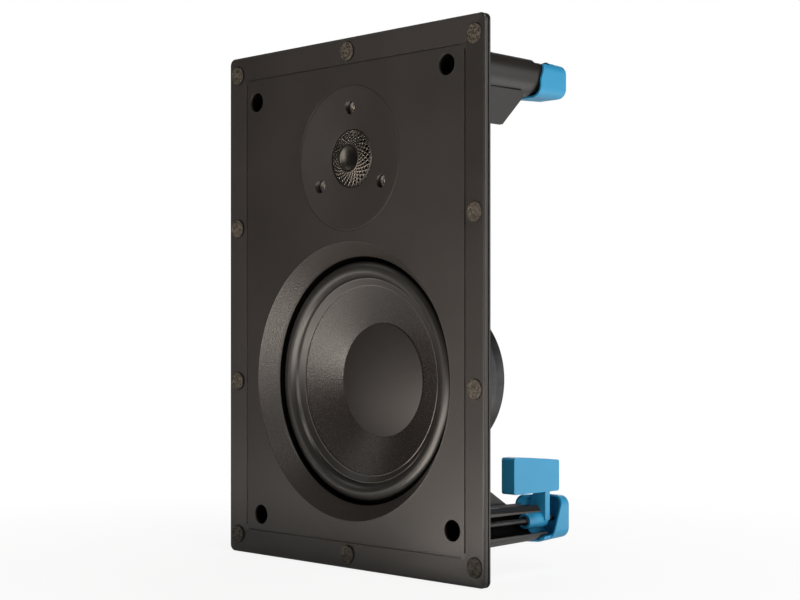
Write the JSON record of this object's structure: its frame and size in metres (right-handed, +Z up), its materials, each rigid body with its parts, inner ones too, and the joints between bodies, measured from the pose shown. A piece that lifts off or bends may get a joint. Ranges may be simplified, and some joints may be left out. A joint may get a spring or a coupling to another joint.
{
  "type": "in-wall loudspeaker",
  "caption": "Rectangular flush speaker for a wall opening, with a flared cone driver, a small dome driver behind a pierced guard, and swing-out clamps at the corners.",
  "frame": {"origin": "middle of the plane where the back of the flange meets the wall", "axes": "+Z up, the front faces -Y, +Y into the wall, +X to the right as seen from the front"},
  "size_m": [0.218, 0.0936, 0.312],
  "materials": {
    "charcoal_plastic": "fine moulded texture",
    "faceplate_plastic": "fine moulded texture",
    "catch_magnet": "rough coated disc",
    "basket_alloy": "black coated casting",
    "surround_rubber": "satin rubber",
    "cone_plastic": "fine grained",
    "cap_plastic": "smooth matte",
    "former_foil": "foil",
    "copper_wire": "enamelled copper",
    "spider_cloth": "impregnated cloth",
    "motor_steel": "black plated",
    "ferrite": "ground ferrite",
    "lens_metal": "black perforated sheet",
    "dome_metal": "bright dome",
    "screw_steel": "black plated",
    "nut_steel": "plated",
    "tab_brass": "bright",
    "board_laminate": "solder mask",
    "capacitor_film": "gloss sleeve",
    "resistor_cement": "cement",
    "terminal_plastic": "satin",
    "button_red": "gloss",
    "button_black": "gloss",
    "clamp_blue": "satin"
  },
  "bodies": {
    "frame": {"baffle": "charcoal_plastic", "tweeter_faceplate": "faceplate_plastic", "woofer_basket": "basket_alloy", "woofer_top_plate": "motor_steel", "woofer_magnet": "ferrite", "woofer_yoke": "motor_steel", "woofer_screws": "screw_steel", "woofer_terminal_strip": "terminal_plastic", "driver_tabs": "tab_brass", "tweeter_lens": "lens_metal", "tweeter_mount_ring": "terminal_plastic", "tweeter_top_plate": "motor_steel", "tweeter_magnet": "ferrite", "tweeter_yoke": "motor_steel", "tweeter_screws": "screw_steel", "crossover_board": "board_laminate", "crossover_screws": "screw_steel", "inductor_bobbins": "terminal_plastic", "inductor_windings": "copper_wire", "capacitors": "capacitor_film", "resistors": "resistor_cement", "terminal_block": "terminal_plastic", "clamp_clips": "nut_steel", "rim_magnet_top_left": "catch_magnet", "rim_magnet_top_right": "catch_magnet", "rim_magnet_upper_left": "catch_magnet", "rim_magnet_upper_right": "catch_magnet", "rim_magnet_lower_left": "catch_magnet", "rim_magnet_lower_right": "catch_magnet", "rim_magnet_bottom_left": "catch_magnet", "rim_magnet_bottom_right": "catch_magnet", "rim_magnet_top_middle": "catch_magnet", "rim_magnet_bottom_middle": "catch_magnet", "clamp_cap_bottom_right": "clamp_blue", "clamp_cap_top_right": "clamp_blue", "clamp_cap_top_left": "clamp_blue", "clamp_cap_bottom_left": "clamp_blue"},
    "screw_bottom_right": {"clamp_screw_bottom_right": "screw_steel"},
    "nut_bottom_right": {"clamp_nut_bottom_right": "nut_steel"},
    "dog_bottom_right": {"clamp_dog_bottom_right": "clamp_blue"},
    "screw_top_right": {"clamp_screw_top_right": "screw_steel"},
    "nut_top_right": {"clamp_nut_top_right": "nut_steel"},
    "dog_top_right": {"clamp_dog_top_right": "clamp_blue"},
    "screw_top_left": {"clamp_screw_top_left": "screw_steel"},
    "nut_top_left": {"clamp_nut_top_left": "nut_steel"},
    "dog_top_left": {"clamp_dog_top_left": "clamp_blue"},
    "screw_bottom_left": {"clamp_screw_bottom_left": "screw_steel"},
    "nut_bottom_left": {"clamp_nut_bottom_left": "nut_steel"},
    "dog_bottom_left": {"clamp_dog_bottom_left": "clamp_blue"},
    "woofer_moving": {"woofer_cone": "cone_plastic", "woofer_dust_cap": "cap_plastic", "woofer_coil_former": "former_foil", "woofer_winding": "copper_wire", "woofer_surround": "surround_rubber", "woofer_spider": "spider_cloth"},
    "tweeter_moving": {"tweeter_dome": "dome_metal", "tweeter_voice_coil": "copper_wire", "tweeter_surround": "surround_rubber"},
    "button_red": {"terminal_button_red": "button_red"},
    "button_black": {"terminal_button_black": "button_black"}
  },
  "joints": [
    {"name": "screw_turn_bottom_right", "type": "hinge", "parent": "frame", "child": "screw_bottom_right", "pos_m": [0.0838, 0, -0.1265], "axis": [0, 1, 0], "range_deg": [0, 7426]},
    {"name": "nut_travel_bottom_right", "type": "slide", "parent": "frame", "child": "nut_bottom_right", "axis": [0, -1, 0], "range_m": [0, 0.033]},
    {"name": "dog_swing_bottom_right", "type": "hinge", "parent": "nut_bottom_right", "child": "dog_bottom_right", "pos_m": [0.0838, 0, -0.1265], "axis": [0, 1, 0], "range_deg": [0, 90]},
    {"name": "screw_turn_top_right", "type": "hinge", "parent": "frame", "child": "screw_top_right", "pos_m": [0.0795, 0, 0.1308], "axis": [0, 1, 0], "range_deg": [0, 7426]},
    {"name": "nut_travel_top_right", "type": "slide", "parent": "frame", "child": "nut_top_right", "axis": [0, -1, 0], "range_m": [0, 0.033]},
    {"name": "dog_swing_top_right", "type": "hinge", "parent": "nut_top_right", "child": "dog_top_right", "pos_m": [0.0795, 0, 0.1308], "axis": [0, 1, 0], "range_deg": [0, 90]},
    {"name": "screw_turn_top_left", "type": "hinge", "parent": "frame", "child": "screw_top_left", "pos_m": [-0.0838, 0, 0.1265], "axis": [0, 1, 0], "range_deg": [0, 7426]},
    {"name": "nut_travel_top_left", "type": "slide", "parent": "frame", "child": "nut_top_left", "axis": [0, -1, 0], "range_m": [0, 0.033]},
    {"name": "dog_swing_top_left", "type": "hinge", "parent": "nut_top_left", "child": "dog_top_left", "pos_m": [-0.0838, 0, 0.1265], "axis": [0, 1, 0], "range_deg": [0, 90]},
    {"name": "screw_turn_bottom_left", "type": "hinge", "parent": "frame", "child": "screw_bottom_left", "pos_m": [-0.0795, 0, -0.1308], "axis": [0, 1, 0], "range_deg": [0, 7426]},
    {"name": "nut_travel_bottom_left", "type": "slide", "parent": "frame", "child": "nut_bottom_left", "axis": [0, -1, 0], "range_m": [0, 0.033]},
    {"name": "dog_swing_bottom_left", "type": "hinge", "parent": "nut_bottom_left", "child": "dog_bottom_left", "pos_m": [-0.0795, 0, -0.1308], "axis": [0, 1, 0], "range_deg": [0, 90]},
    {"name": "woofer_stroke", "type": "slide", "parent": "frame", "child": "woofer_moving", "axis": [0, -1, 0], "range_m": [-0.004, 0.004], "stiffness_N_per_m": 1500, "deforming": ["woofer_surround", "woofer_spider"]},
    {"name": "tweeter_stroke", "type": "slide", "parent": "frame", "child": "tweeter_moving", "axis": [0, -1, 0], "range_m": [-0.0003, 0.0003], "stiffness_N_per_m": 600, "deforming": ["tweeter_surround"]},
    {"name": "button_press_red", "type": "slide", "parent": "frame", "child": "button_red", "axis": [0, -1, 0], "range_m": [0, 0.0035], "stiffness_N_per_m": 600, "springref_m": -0.001},
    {"name": "button_press_black", "type": "slide", "parent": "frame", "child": "button_black", "axis": [0, -1, 0], "range_m": [0, 0.0035], "stiffness_N_per_m": 600, "springref_m": -0.001}
  ],
  "couplings": [
    {"joint": "screw_turn_bottom_right", "follows": "nut_travel_bottom_right", "rad_per_m": 3927},
    {"joint": "screw_turn_top_right", "follows": "nut_travel_top_right", "rad_per_m": 3927},
    {"joint": "screw_turn_top_left", "follows": "nut_travel_top_left", "rad_per_m": 3927},
    {"joint": "screw_turn_bottom_left", "follows": "nut_travel_bottom_left", "rad_per_m": 3927}
  ]
}
